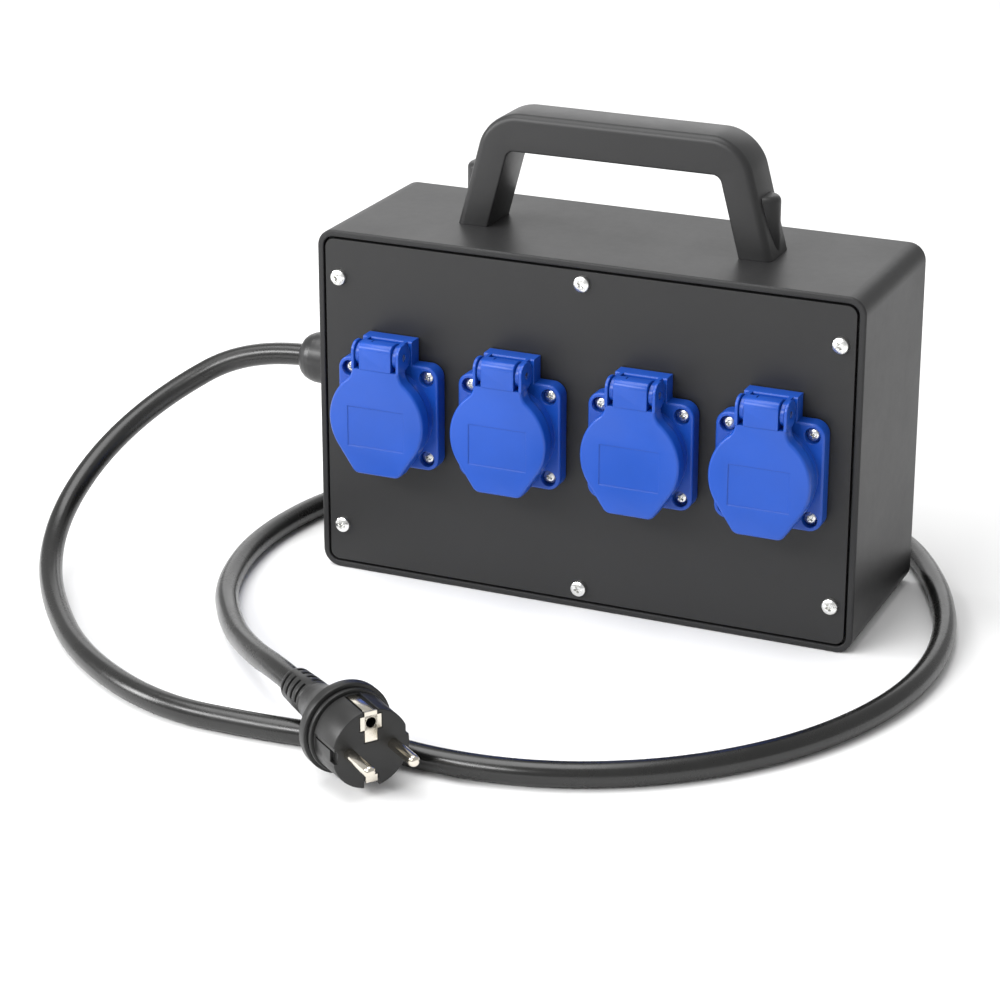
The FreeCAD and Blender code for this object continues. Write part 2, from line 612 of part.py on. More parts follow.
def plug():
    profile = [(-RELIEF_START, 0), (-RELIEF_START, 8.2), (-23, 9.0), (-12, 13.2), (RING_BACK, 15.8),
               (RING_BACK, RING_R - 0.8), (RING_BACK + 0.8, RING_R), (RING_FRONT - 0.6, RING_R),
               (RING_FRONT, RING_R - 0.6), (RING_FRONT, RIM_R), (RIM_FRONT - 0.4, RIM_R),
               (RIM_FRONT, RIM_R - 0.4), (RIM_FRONT, FACE_R + 0.2), (FACE_L - 0.5, FACE_R),
               (FACE_L, FACE_R - 0.5), (FACE_L, 0)]
    body = turned(profile, Vec(), X, Z)
    cuts = []
    start = RIM_FRONT + 0.7
    for side, slot, plate_end in ((1, 1.6, TOP_PLATE), (-1, 3.35, LOW_PLATE)):
        z0, z1 = sorted((side * (FACE_R - slot), side * (FACE_R + 3)))
        cuts.append(box(start, FACE_L + 1, -3.4, 3.4, z0, z1))
        z0, z1 = sorted((side * (FACE_R - plate_end - 0.3), side * (FACE_R + 1)))
        cuts.append(box(FACE_L - 1.0, FACE_L + 1, -3.0, 3.0, z0, z1))
        y = side * PIN_SPACING / 2
        cuts.append(rod(PIN_ROOT_R + 0.03, (FACE_L - 12, y, 0), (FACE_L + 1, y, 0)))
    cuts.append(box(FACE_L - 1.0, FACE_L + 1, -4.9, 4.9, PLATE_HOLE_Z - 3.3, PLATE_HOLE_Z + 3.3))
    cuts.append(rod(2.5, (FACE_L - 14, 0, PLATE_HOLE_Z), (FACE_L, 0, PLATE_HOLE_Z)))
    cuts.append(box(start, FACE_L + 1, FACE_R - 1.5, FACE_R + 3, 2.6, 7.8))
    cuts.append(box(start, FACE_L + 1, -FACE_R - 3, 0.6 - FACE_R, -8.0, 3.7))
    cuts.append(box(start, FACE_L + 1, -FACE_R - 3, 1.7 - FACE_R, 1.6, 2.2))
    cuts.append(box(FACE_L - 3.7, FACE_L + 1, -FACE_R - 3, 2.2 - FACE_R, -3.0, 1.6))
    solids["plug_body"] = placed(body.cut(cuts))

    length = RELIEF_END - RELIEF_START
    cone = turned([(-RELIEF_START, 0), (-RELIEF_START, 8.0), (-RELIEF_END + 1, 7.2),
                   (-RELIEF_END, 6.4), (-RELIEF_END, 0)], Vec(), X, Z)
    slots = []
    rows = 4
    for row in range(rows):
        x = -RELIEF_START - 2.0 - row * (length - 1.5) / rows
        ring = rod(12, (x, 0, 0), (x - 1.5, 0, 0)).cut(rod(5.9, (x + 1, 0, 0), (x - 3, 0, 0)))
        bridge = fuse(box(x - 3, x + 1, -1.2, 1.2, -14, 14), box(x - 3, x + 1, -14, 14, -1.2, 1.2))
        bridge.rotate(Vec(), X, 12)
        slots.append(ring.cut(bridge))
    solids["plug_strain_relief"] = placed(cone.cut(slots))

    pins = []
    for side in (-1, 1):
        y = side * PIN_SPACING / 2
        tip = FACE_L + PLUG_PIN_L
        shank = rod(PLUG_PIN_R, (FACE_L, y, 0), (tip, y, 0))
        pin = fuse(shank, rod(PIN_ROOT_R, (FACE_L - 12, y, 0), (FACE_L, y, 0)))
        rim = edges_where(pin, lambda b: b.XMin > tip - 0.01)
        pins.append(placed(pin.makeFillet(1.9, rim)))
    solids["plug_pins"] = Part.makeCompound(pins)

    contacts = []
    for side, under, plate_end in ((1, 0.55, TOP_PLATE), (-1, 2.3, LOW_PLATE)):
        z0, z1 = sorted((side * (FACE_R - under - 1.0), side * (FACE_R - under)))
        strip = box(RIM_FRONT + 0.9, FACE_L - 0.9, -2.6, 2.6, z0, z1)
        z0, z1 = sorted((side * (FACE_R - plate_end), side * (FACE_R - under)))
        tongue = box(FACE_L - 0.95, FACE_L + 0.05, -2.4, 2.4, z0, z1)
        shape = fuse(strip, tongue)
        if side > 0:
            wings = box(FACE_L - 0.95, FACE_L + 0.05, -4.6, 4.6, PLATE_HOLE_Z - 3, PLATE_HOLE_Z + 3)
            shape = fuse(shape, wings)
            shape = shape.cut(rod(2.1, (FACE_L - 3, 0, PLATE_HOLE_Z), (FACE_L + 1, 0, PLATE_HOLE_Z)))
        contacts.append(placed(shape))
    solids["plug_earth_contacts"] = Part.makeCompound(contacts)


def cable():
    ends = [plug_frame().multVec(Vec(-RELIEF_END - lead, 0, 0)) for lead in (PLUG_LEAD, 0)]
    route = list(CABLE_ROUTE) + [tuple(end) for end in ends]
    print("cable ends", route[-2:])
    solid, radii, length = tube(route, CABLE_R)
    print("cable length %.0f, least bend radius %.0f" % (length, min(radii)))
    print("cable bend radii", [round(r) for r in radii])
    print("cable volume / (section x length) %.4f" % (solid.Volume / (math.pi * CABLE_R ** 2 * length)))
    solids["cable"] = solid
    solids["cable_tail"] = rod(CABLE_R, (GLAND_END_X, 0, GLAND_Z), (-BOX_W / 2 + 20, 0, GLAND_Z))


# ---------------- Terminal block and inner wiring ----------------

BLOCK_X = (-58.0, -50.0, -42.0)     # live, neutral and earth poles
BLOCK_Z = 34.0
WIRES = ("live", "neutral", "earth")
WIRE_DX = (PIN_SPACING / 2, -PIN_SPACING / 2, 0.0)
LINK_DZ = (3.4, -3.4, -14.0)        # height of the links between sockets, from the sockets' centres
FEED_DZ = (0.0, 0.0, -10.0)         # where each feed reaches the first socket
FEED_Z = (17.0, 8.0, 12.5)          # height of each feed below the block
FEED_Y = -5.0
FAN = 2.8                           # spacing of the three cores where they leave the cable


def terminal_block():
    back = BOX_D / 2 - WALL
    body = box(BLOCK_X[0] - 5, BLOCK_X[2] + 5, back - 14, back, BLOCK_Z - 9, BLOCK_Z + 9)
    inserts = []
    screws = []
    for x in BLOCK_X:
        tunnel = box(x - 2.6, x + 2.6, back - 9, back - 3.8, BLOCK_Z - 10, BLOCK_Z + 10)
        body = body.cut(tunnel)
        insert = box(x - 2.5, x + 2.5, back - 8.9, back - 3.9, BLOCK_Z - 7, BLOCK_Z + 7)
        insert = insert.cut(rod(1.7, (x, back - 6.4, BLOCK_Z - 8), (x, back - 6.4, BLOCK_Z + 8)))
        for dz in (-4.0, 4.0):
            z = BLOCK_Z + dz
            body = body.cut(rod(2.0, (x, back - 15, z), (x, back - 8, z)))
            insert = insert.cut(rod(1.25, (x, back - 10, z), (x, back - 7, z)))
            screws.append(fuse(rod(1.8, (x, back - 12.5, z), (x, back - 9.1, z)),
                               rod(1.2, (x, back - 9.2, z), (x, back - 8.0, z))))
        inserts.append(insert)
    solids["terminal_block"] = body
    solids["terminal_inserts"] = Part.makeCompound(inserts)
    solids["terminal_screws"] = Part.makeCompound(screws)


def wiring():
    """Each pole's wires: the cable's core, the feed to the first socket and three links."""
    clamp_y = BOX_D / 2 - WALL - 6.4
    tail_x = -BOX_W / 2 + 20
    for pole, name in enumerate(WIRES):
        x = BLOCK_X[pole]
        side = 1 - pole
        core_z = GLAND_Z + 1
        core = ((tail_x, side * FAN, core_z), (tail_x + 14, side * FAN, core_z),
                (x, clamp_y - 8 + 4 * side, core_z - 16), (x, clamp_y, core_z - 30),
                (x, clamp_y, BLOCK_Z + 7.1))
        near = BACK_BODY_Y + (1.1 if name == "earth" else 3.1)
        start_x = SOCKET_X[0] + WIRE_DX[pole]
        low = FEED_Z[pole]
        high = SOCKET_Z + FEED_DZ[pole]
        feed = ((x, clamp_y, BLOCK_Z - 7.1), (x, clamp_y, low), (x, FEED_Y, low),
                (start_x, FEED_Y, low), (start_x, FEED_Y, high), (start_x, near, high))
        runs = [tube(core, WIRE_R)[0], tube(feed, WIRE_R)[0]]
        level = SOCKET_Z + LINK_DZ[pole]
        for left, right in zip(SOCKET_X, SOCKET_X[1:]):
            x0 = left + WIRE_DX[pole] + 1.6
            x1 = right + WIRE_DX[pole] - 1.6
            link = ((x0, near, level), (x0, near + 9, level), (x1, near + 9, level), (x1, near, level))
            runs.append(tube(link, WIRE_R)[0])
        solids["wire_" + name] = Part.makeCompound(runs)


enclosure()
front_panel()
sockets()
handle()
handle_fixings()
gland()
plug()
cable()
terminal_block()
wiring()

for name, shape in sorted(solids.items()):
    bad = [s for s in shape.Solids if not s.isValid() or s.Volume <= 0]
    print("%-22s %2d solids %s" % (name, len(shape.Solids), "INVALID" if bad else "ok"))
    shape.exportStep("parts/%s.step" % name)
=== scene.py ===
import math

import bmesh
import bpy
from bpy.props import FloatProperty, FloatVectorProperty, IntProperty, PointerProperty
from mathutils import Matrix, Vector


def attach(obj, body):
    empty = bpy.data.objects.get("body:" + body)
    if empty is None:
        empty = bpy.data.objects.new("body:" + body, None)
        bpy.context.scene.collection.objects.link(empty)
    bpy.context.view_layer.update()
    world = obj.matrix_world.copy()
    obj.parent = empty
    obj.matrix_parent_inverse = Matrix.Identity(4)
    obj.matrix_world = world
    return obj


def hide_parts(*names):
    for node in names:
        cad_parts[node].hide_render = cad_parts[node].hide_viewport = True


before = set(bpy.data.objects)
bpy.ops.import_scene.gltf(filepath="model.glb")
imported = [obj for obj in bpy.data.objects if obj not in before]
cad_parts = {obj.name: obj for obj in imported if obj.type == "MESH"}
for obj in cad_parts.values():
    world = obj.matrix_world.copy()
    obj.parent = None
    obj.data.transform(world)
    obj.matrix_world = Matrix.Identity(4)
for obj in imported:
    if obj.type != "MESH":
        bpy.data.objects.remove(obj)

bl_info = {
    "name": "Portable power distribution box",
    "version": (1, 0, 0),
    "blender": (4, 5, 0),
    "location": "3D View > Sidebar > Power Box",
    "description": "Builds the visible pieces of a portable power distribution box on its CAD frame",
    "category": "Add Mesh",
}

MM = 0.001
TINY = 1e-6
NUMBERS = (1, 2, 3, 4)
NEARLY = 0.999  # keeps two roundings that meet from running into each other

# Places on the object, in metres, in the CAD frame.
BOX_TOP = 0.1620
PANEL_FRONT = -0.0450
PANEL_MIDDLE = 0.081
CORNER_SCREW = (0.1175, 0.0595)
MIDDLE_SCREW = 0.0714
PANEL_HEAD_HEIGHT = 0.0024
SOCKET_X = (-0.090, -0.031, 0.031, 0.090)
SOCKET_Z = 0.0822
SOCKET_SCREW = 0.019
SOCKET_HEAD_HEIGHT = 0.0022
POCKET_FLOOR = -0.0495

# The lid and its hinge; heights count from the lid's middle.
LID_FRONT = -0.0660
LID_BACK = -0.0590
LID_TOP = 0.0241
LID_WALL = 0.0019
LID_HOLLOW = 0.0044
FIELD_LOW = (-0.01375, -0.0126)
FIELD_HIGH = (0.01375, 0.0060)
FIELD_DEPTH = 0.00022
HINGE_Y = -0.0600
HINGE_RISE = 0.0300
BARREL_HALF = 0.0077
BARREL_BROW = 0.0031
EAR_INNER = 0.0103
EAR_BROW = 0.0046

# The handle.  Its legs lean inwards by 15 degrees, whose tangent is LEG_LEAN, so each upper corner
# turns by 75 degrees.
HANDLE_HEIGHT = 0.0530
BRIDGE_THICKNESS = 0.0170
LEG_OUTER = 0.0745
LEG_INNER = 0.0595
LEG_LEAN = 0.268
HALF_TURN = 37.5
INNER_CORNER = 0.004
OUTER_CORNER = 0.020
BOSS_RADIUS = 0.0074
BOSS_LENGTH = 0.0248
BOSS_START = 0.0665
BOSS_RISE = 0.0020

# Where the plug lies; its own X axis points the way its pins do.
PLUG_PLACE = Matrix.Translation((-0.0207, -0.2343, 0.021)) @ Matrix.Rotation(math.radians(-37), 4, "Z")

# The plug's shapes, in millimetres in its own axes: profiles as places along X and radii, and cuts
# as the two ends of a block on each axis.
PLUG_PROFILE = (
    (-27.5, 0), (-27.5, 8.1), (-25, 8.5), (-22, 9.3), (-19, 10.4), (-15, 12.2), (-11, 13.8), (-7, 14.8),
    (-3.5, 15.4), (-3.5, 19.2), (1.0, 19.2), (1.0, 16.9), (1.8, 16.9), (1.8, 17.8), (3.8, 17.8),
    (3.8, 15.9), (4.7, 15.9), (4.7, 16.8), (21.5, 16.6), (21.5, 0),
)
PLUG_CUTS = (
    (4.8, 22.5, -3.4, 3.4, 15.0, 19.5),       # groove for the upper earth plate
    (20.5, 22.5, -3.0, 3.0, 2.9, 19.5),       # pocket for its tongue
    (20.5, 22.5, -4.9, 4.9, 8.0, 14.6),       # pocket for its wings
    (4.8, 22.5, -3.4, 3.4, -19.5, -13.25),    # groove for the lower earth plate
    (20.5, 22.5, -3.0, 3.0, -15.0, -10.9),    # pocket for its tongue
    (4.8, 22.5, 15.0, 19.5, 2.6, 7.8),        # flat on the nose's +Y side
    (4.8, 22.5, -19.5, -16.0, -8.0, 1.6),     # flat on its -Y side
    (17.8, 22.5, -19.5, -14.4, -3.0, 1.6),    # notch where that flat meets the face
    (4.8, 22.5, -19.5, -14.9, 1.6, 2.2),      # deep line above the flat
    (4.8, 22.5, -19.5, -15.8, 2.2, 3.7),      # step above the line
)
EARTH_RISE = 11.3
RELIEF_PROFILE = (
    (-27.5, 0), (-27.5, 7.9), (-28.3, 8.1), (-36, 7.8), (-45.6, 7.2), (-46.6, 6.8), (-47, 6.2), (-47, 0),
)

# The strain relief's slots, four to a row: rows, the first row's place, the step to the next, how
# far all are turned, and a slot's half width, half length and distance of its floor from the middle.
SLOT_ROWS = 4
SLOT_FIRST = -30.3
SLOT_PITCH = 4.45
SLOT_TURN = 57
SLOT_SIZE = (0.85, 4.3, 5.95)

# The cable's control points, from the gland to the plug's strain relief.
LYING = 0.00525
CABLE_POINTS = (
    (-0.159, 0.000, 0.084), (-0.190, 0.000, 0.083), (-0.222, -0.021, 0.063),
    (-0.240, -0.049, 0.043), (-0.244, -0.081, 0.024), (-0.233, -0.114, 0.011),
    (-0.208, -0.149, LYING), (-0.170, -0.189, LYING), (-0.118, -0.218, LYING),
    (-0.069, -0.219, LYING), (-0.024, -0.214, LYING), (0.020, -0.219, LYING),
    (0.066, -0.209, LYING), (0.110, -0.182, LYING), (0.146, -0.138, LYING),
    (0.166, -0.082, LYING), (0.165, -0.022, LYING), (0.143, 0.038, LYING),
    (0.108, 0.088, LYING), (0.038, 0.110, LYING), (-0.044, 0.104, LYING),
    (-0.116, 0.078, LYING), (-0.155, 0.024, LYING), (-0.165, -0.038, LYING),
    (-0.153, -0.095, LYING), (-0.124, -0.141, 0.008), (-0.094, -0.175, 0.015),
    (-0.0710, -0.1964, 0.021), (-0.0582, -0.2060, 0.021),
)
CURVE_STEPS = 14

# Each wire's node, its finish and its colour.
WIRES = (
    ("wire_live", "wire_brown", (0.105, 0.034, 0.014)),
    ("wire_neutral", "wire_blue", (0.024, 0.122, 0.462)),
    ("wire_earth", "wire_green", (0.195, 0.323, 0.027)),
)


# ---------------------------------------------------------------- settings

def length(label, about, value):
    return FloatProperty(name=label, description=about, default=value, unit="LENGTH", precision=5)


def colour(label, about, value):
    return FloatVectorProperty(name=label, description=about, default=value, subtype="COLOR",
                               size=3, min=0.0, max=1.0)


class PowerBoxColours(bpy.types.PropertyGroup):
    shell: colour("Enclosure", "Base colour of the moulded enclosure", (0.021, 0.021, 0.0215))
    panel: colour("Front panel", "Base colour of the front panel", (0.0165, 0.0165, 0.0168))
    handle: colour("Handle", "Base colour of the handle and its caps", (0.019, 0.019, 0.0195))
    blue: colour("Sockets", "Base colour of the sockets and their lids", (0.006, 0.066, 0.400))
    cable: colour("Cable", "Base colour of the cable's sheath", (0.0062, 0.0062, 0.0058))
    plug: colour("Plug", "Base colour of the plug", (0.0110, 0.0110, 0.0108))
    metal: colour("Screws", "Base colour of the plated screws", (0.82, 0.82, 0.80))
    nickel: colour("Contacts", "Base colour of the plug's pins and contacts", (0.66, 0.62, 0.54))


class PowerBoxSizes(bpy.types.PropertyGroup):
    lid_radius: length("Lid radius", "Radius of the lid's round part", 0.0232)
    lid_low: length("Finger edge", "Distance of the lid's flat lower edge below its centre", 0.0256)
    lid_neck: length("Neck half-width", "Half the width of the lid's neck", 0.0116)
    lid_edge: length("Lid edge", "Rounding of the lid's front edge", 0.0013)
    handle_edge: length("Handle edge", "Rounding of the handle's outer edges", 0.0034)
    handle_depth: length("Handle depth", "Thickness of the handle from front to back", 0.0250)
    panel_screw: length("Panel screw radius", "Radius of the panel screws' heads", 0.0037)
    socket_screw: length("Socket screw radius", "Radius of the socket screws' heads", 0.0030)
    cable_diameter: length("Cable diameter", "Diameter of the cable's sheath", 0.0105)
    steps: IntProperty(name="Steps", description="Steps in a full turn of a round piece",
                       default=72, min=24, max=128)


class PowerBoxSettings(bpy.types.PropertyGroup):
    colours: PointerProperty(type=PowerBoxColours, name="Colours", description="Base colours")
    sizes: PointerProperty(type=PowerBoxSizes, name="Sizes", description="Sizes of the new pieces")


def colours():
    return bpy.context.scene.power_box.colours


def sizes():
    return bpy.context.scene.power_box.sizes


# ---------------------------------------------------------------- materials

# Scales of the two coarser patterns that every finish shares.
BROAD_PATCHES = 28.0
SMALL_PATCHES = 240.0


def node(tree, kind, **values):
    made = tree.nodes.new(kind)
    for name, value in values.items():
        if name in made.inputs:
            made.inputs[name].default_value = value
        else:
            setattr(made, name, value)
    return made


def noise(tree, where, scale, detail=3.0, rough=0.55):
    made = node(tree, "ShaderNodeTexNoise", Scale=scale, Detail=detail, Roughness=rough)
    tree.links.new(where, made.inputs["Vector"])
    return made.outputs["Fac"]


def remap(tree, value, low, high, to_low, to_high):
    made = node(tree, "ShaderNodeMapRange", clamp=True)
    for index, number in enumerate((low, high, to_low, to_high), 1):
        made.inputs[index].default_value = number
    tree.links.new(value, made.inputs[0])
    return made.outputs[0]


def mixed(tree, factor, first, second):
    made = node(tree, "ShaderNodeMix", data_type="RGBA")
    for socket, value in ((made.inputs[6], first), (made.inputs[7], second)):
        if isinstance(value, bpy.types.NodeSocket):
            tree.links.new(value, socket)
        else:
            socket.default_value = (*value, 1.0)
    tree.links.new(factor, made.inputs[0])
    return made.outputs[2]


def multiplied(tree, first, second):
    made = node(tree, "ShaderNodeMath", operation="MULTIPLY")
    tree.links.new(first, made.inputs[0])
    tree.links.new(second, made.inputs[1])
    return made.outputs[0]


def surface(name, base, rough, metallic=0.0, grain=2600.0, depth=0.00004, relief=0.25, spread=0.06,
            wear=0.25, wear_tone=1.8, soft=0.0004, specular=0.5, tint=0.10):
    """Worn, grained surface: broad patches in colour and roughness, a fine grain in the bump, and
    paler rubbed edges.  Edges are softened in the shading by the radius soft."""
    made = bpy.data.materials.new(name)
    made.use_nodes = True
    tree = made.node_tree
    tree.nodes.clear()
    out = node(tree, "ShaderNodeOutputMaterial")
    shader = node(tree, "ShaderNodeBsdfPrincipled")
    shader.inputs["Metallic"].default_value = metallic
    shader.inputs["Specular IOR Level"].default_value = specular
    where = node(tree, "ShaderNodeTexCoord").outputs["Object"]
    broad = noise(tree, where, BROAD_PATCHES, 4.0)
    middle = noise(tree, where, SMALL_PATCHES, 4.0, 0.6)
    fine = noise(tree, where, grain, 2.0)
    bevel = node(tree, "ShaderNodeBevel", samples=4)
    bevel.inputs["Radius"].default_value = soft
    bump = node(tree, "ShaderNodeBump")
    bump.inputs["Strength"].default_value = relief
    bump.inputs["Distance"].default_value = depth
    tree.links.new(fine, bump.inputs["Height"])
    tree.links.new(bevel.outputs["Normal"], bump.inputs["Normal"])
    tree.links.new(bump.outputs["Normal"], shader.inputs["Normal"])
    around = node(tree, "ShaderNodeVectorMath", operation="DOT_PRODUCT")
    tree.links.new(bevel.outputs["Normal"], around.inputs[0])
    tree.links.new(node(tree, "ShaderNodeNewGeometry").outputs["Normal"], around.inputs[1])
    edge = remap(tree, around.outputs["Value"], 0.995, 0.90, 0.0, 1.0)
    rubbed = multiplied(tree, edge, remap(tree, middle, 0.42, 0.66, 0.0, wear))
    low = [c * (1.0 - tint) for c in base]
    high = [min(1.0, c * (1.0 + tint)) for c in base]
    shade = mixed(tree, remap(tree, broad, 0.35, 0.65, 0.0, 1.0), low, high)
    pale = [min(1.0, c * wear_tone + 0.01) for c in base]
    tree.links.new(mixed(tree, rubbed, shade, pale), shader.inputs["Base Color"])
    blend = node(tree, "ShaderNodeMath", operation="ADD")
    tree.links.new(remap(tree, broad, 0.3, 0.7, rough - spread, rough + spread), blend.inputs[0])
    tree.links.new(remap(tree, middle, 0.3, 0.7, -spread / 2, spread / 2), blend.inputs[1])
    tree.links.new(blend.outputs[0], shader.inputs["Roughness"])
    tree.links.new(shader.outputs[0], out.inputs["Surface"])
    return made


def kept(name, make):
    """The finish of that name, made the first time it's asked for.  The word in front keeps it apart
    from the materials that come with the CAD frame."""
    name = "finish_" + name
    return bpy.data.materials.get(name) or make(name)


def shell_look():
    return kept("enclosure_plastic", lambda name: surface(
        name, colours().shell, 0.42, grain=2200, depth=0.00003, relief=0.22, soft=0.0012,
        spread=0.02, tint=0.03, specular=0.28))


def panel_look():
    return kept("panel_plastic", lambda name: surface(
        name, colours().panel, 0.46, grain=3000, depth=0.00002, relief=0.18,
        spread=0.02, tint=0.03, specular=0.38))


def handle_look():
    return kept("handle_plastic", lambda name: surface(
        name, colours().handle, 0.40, grain=2400, depth=0.00003, relief=0.22, soft=0.0005,
        spread=0.03, tint=0.04, specular=0.40))


def gland_look():
    return kept("gland_plastic", lambda name: surface(
        name, colours().handle, 0.36, grain=2400, depth=0.00002, relief=0.20, soft=0.0006))


def blue_look():
    return kept("socket_plastic", lambda name: surface(
        name, colours().blue, 0.34, grain=3000, depth=0.000015, relief=0.15, soft=0.0005,
        wear=0.20, wear_tone=1.25, tint=0.05, spread=0.04, specular=0.45))


def insert_look():
    return kept("insert_plastic", lambda name: surface(name, (0.62, 0.62, 0.60), 0.45, tint=0.04))


def rubber_look():
    return kept("gasket_rubber", lambda name: surface(
        name, (0.010, 0.010, 0.010), 0.72, grain=1800, depth=0.00006, relief=0.4, wear_tone=1.4))


def cable_look():
    return kept("cable_sheath", lambda name: surface(
        name, colours().cable, 0.27, grain=1500, depth=0.00003, relief=0.22, soft=0.0002,
        spread=0.05, specular=0.62, wear=0.1, tint=0.15))


def plug_look():
    return kept("plug_rubber", lambda name: surface(
        name, colours().plug, 0.38, grain=2200, depth=0.00003, relief=0.24, soft=0.0005,
        specular=0.42))


def steel_look():
    return kept("plated_steel", lambda name: surface(
        name, colours().metal, 0.27, metallic=1.0, grain=1200, depth=0.00002, relief=0.20,
        soft=0.0002, wear_tone=1.1, tint=0.05))


def nickel_look():
    return kept("nickel_plate", lambda name: surface(
        name, colours().nickel, 0.17, metallic=1.0, grain=900, depth=0.00001, relief=0.15,
        soft=0.0003, wear_tone=1.1, tint=0.05))


def brass_look():
    return kept("contact_brass", lambda name: surface(
        name, (0.62, 0.42, 0.15), 0.26, metallic=1.0, grain=900, depth=0.00001, relief=0.2,
        wear_tone=1.15))


def block_look():
    return kept("block_plastic", lambda name: surface(name, (0.60, 0.57, 0.48), 0.50, tint=0.05))


def wire_look(colour_name, base):
    return kept(colour_name, lambda name: surface(
        name, base, 0.42, grain=1500, depth=0.00002, tint=0.08))


def paint(look, *names):
    """Gives CAD nodes their finish, through their object's material slots."""
    for name in names:
        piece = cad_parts[name]
        if not piece.material_slots:
            raise RuntimeError("CAD node %s has no material slot" % name)
        for slot in piece.material_slots:
            slot.link = "OBJECT"
            slot.material = look


# ---------------------------------------------------------------- shaping

def round_corner(bm, corner, reach, segments):
    bmesh.ops.bevel(bm, geom=[corner], offset=reach, offset_type="OFFSET", affect="VERTICES",
                    segments=segments, profile=0.5, material=-1)


def slab(corners, reaches, depth, segments=10):
    """Flat shape in X and Y with rounded corners, raised from z = 0 to z = depth."""
    bm = bmesh.new()
    verts = [bm.verts.new((x, y, 0.0)) for x, y in corners]
    bm.faces.new(verts)
    for corner, reach in zip(verts, reaches):
        if reach:
            round_corner(bm, corner, reach, segments)
    raised = bmesh.ops.extrude_face_region(bm, geom=bm.faces[:])["geom"]
    moved = [v for v in raised if isinstance(v, bmesh.types.BMVert)]
    bmesh.ops.translate(bm, verts=moved, vec=(0.0, 0.0, depth))
    bmesh.ops.recalc_face_normals(bm, faces=bm.faces[:])
    return bm


def spun(profile, steps=None):
    """Round solid on the X axis; profile holds (x, radius) pairs."""
    bm = bmesh.new()
    verts = [bm.verts.new((x, 0.0, r)) for x, r in profile]
    edges = [bm.edges.new(pair) for pair in zip(verts, verts[1:])]
    bmesh.ops.spin(bm, geom=verts + edges, cent=(0, 0, 0), axis=(1, 0, 0), dvec=(0, 0, 0),
                   angle=math.tau, steps=steps or sizes().steps, use_merge=True)
    bmesh.ops.remove_doubles(bm, verts=bm.verts[:], dist=1e-6)
    bmesh.ops.recalc_face_normals(bm, faces=bm.faces[:])
    return bm


def block(low, high):
    """Box between two corners."""
    bm = bmesh.new()
    bmesh.ops.create_cube(bm, size=1.0)
    low, high = Vector(low), Vector(high)
    bmesh.ops.scale(bm, verts=bm.verts[:], vec=high - low)
    bmesh.ops.translate(bm, verts=bm.verts[:], vec=(low + high) / 2)
    return bm


def mm_block(x0, x1, y0, y1, z0, z1):
    """Box between two ends on each axis, given in millimetres."""
    return block([v * MM for v in (x0, y0, z0)], [v * MM for v in (x1, y1, z1)])


def rod(start, end, radius, steps):
    """Round bar on the X axis."""
    return spun([(start, 0.0), (start, radius), (end, radius), (end, 0.0)], steps)


def soften(bm, width, segments=3, above=30.0, where=None):
    """Rounds the edges that are sharper than an angle, and that where picks."""
    sharp = [e for e in bm.edges if len(e.link_faces) == 2
             and e.calc_face_angle(0.0) > math.radians(above) and (where is None or where(e))]
    bmesh.ops.bevel(bm, geom=sharp, offset=width, offset_type="OFFSET", affect="EDGES",
                    segments=segments, profile=0.5, clamp_overlap=True, material=-1)
    return bm


def turned(bm, matrix):
    bmesh.ops.transform(bm, matrix=matrix, verts=bm.verts[:])
    return bm


def stood(bm, front, rise=0.0):
    """Stands a flat shape up, so that its own Y becomes the height and its depth runs back."""
    return turned(bm, Matrix(((1, 0, 0, 0), (0, 0, 1, front), (0, 1, 0, rise), (0, 0, 0, 1))))


def gathered(*parts):
    """One bmesh that holds the shapes of several, which are used up."""
    whole = bmesh.new()
    for part in parts:
        held = bpy.data.meshes.new("held")
        part.to_mesh(held)
        part.free()
        whole.from_mesh(held)
        bpy.data.meshes.remove(held)
    return whole


def shown(name, bm, look, body, stands_for=(), sharp=35.0):
    """Turns a bmesh into a finished piece that rides on a CAD body."""
    bmesh.ops.recalc_face_normals(bm, faces=bm.faces[:])
    mesh = bpy.data.meshes.new(name)
    bm.to_mesh(mesh)
    bm.free()
    mesh.shade_smooth()
    mesh.set_sharp_from_angle(angle=math.radians(sharp))
    mesh.materials.append(look)
    piece = bpy.data.objects.new(name, mesh)
    bpy.context.scene.collection.objects.link(piece)
    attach(piece, body)
    if stands_for:
        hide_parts(*stands_for)
    return piece


def carved(bm, cutters):
    """The shape with each of the cutters taken out of it."""
    mesh = bpy.data.meshes.new("whole")
    bm.to_mesh(mesh)
    bm.free()
    whole = bpy.data.objects.new("whole", mesh)
    bpy.context.scene.collection.objects.link(whole)
    used = []
    for number, cutter in enumerate(cutters):
        tool_mesh = bpy.data.meshes.new("tool")
        bmesh.ops.recalc_face_normals(cutter, faces=cutter.faces[:])
        cutter.to_mesh(tool_mesh)
        cutter.free()
        tool = bpy.data.objects.new("tool", tool_mesh)
        bpy.context.scene.collection.objects.link(tool)
        cut = whole.modifiers.new("cut%d" % number, "BOOLEAN")
        cut.operation = "DIFFERENCE"
        cut.solver = "EXACT"
        cut.object = tool
        used.append(tool)
    bpy.context.view_layer.update()
    result = bmesh.new()
    result.from_object(whole, bpy.context.evaluated_depsgraph_get())
    for gone in used + [whole]:
        data = gone.data
        bpy.data.objects.remove(gone)
        bpy.data.meshes.remove(data)
    if len(result.faces) < 6:
        raise RuntimeError("a cut left nothing")
    return result


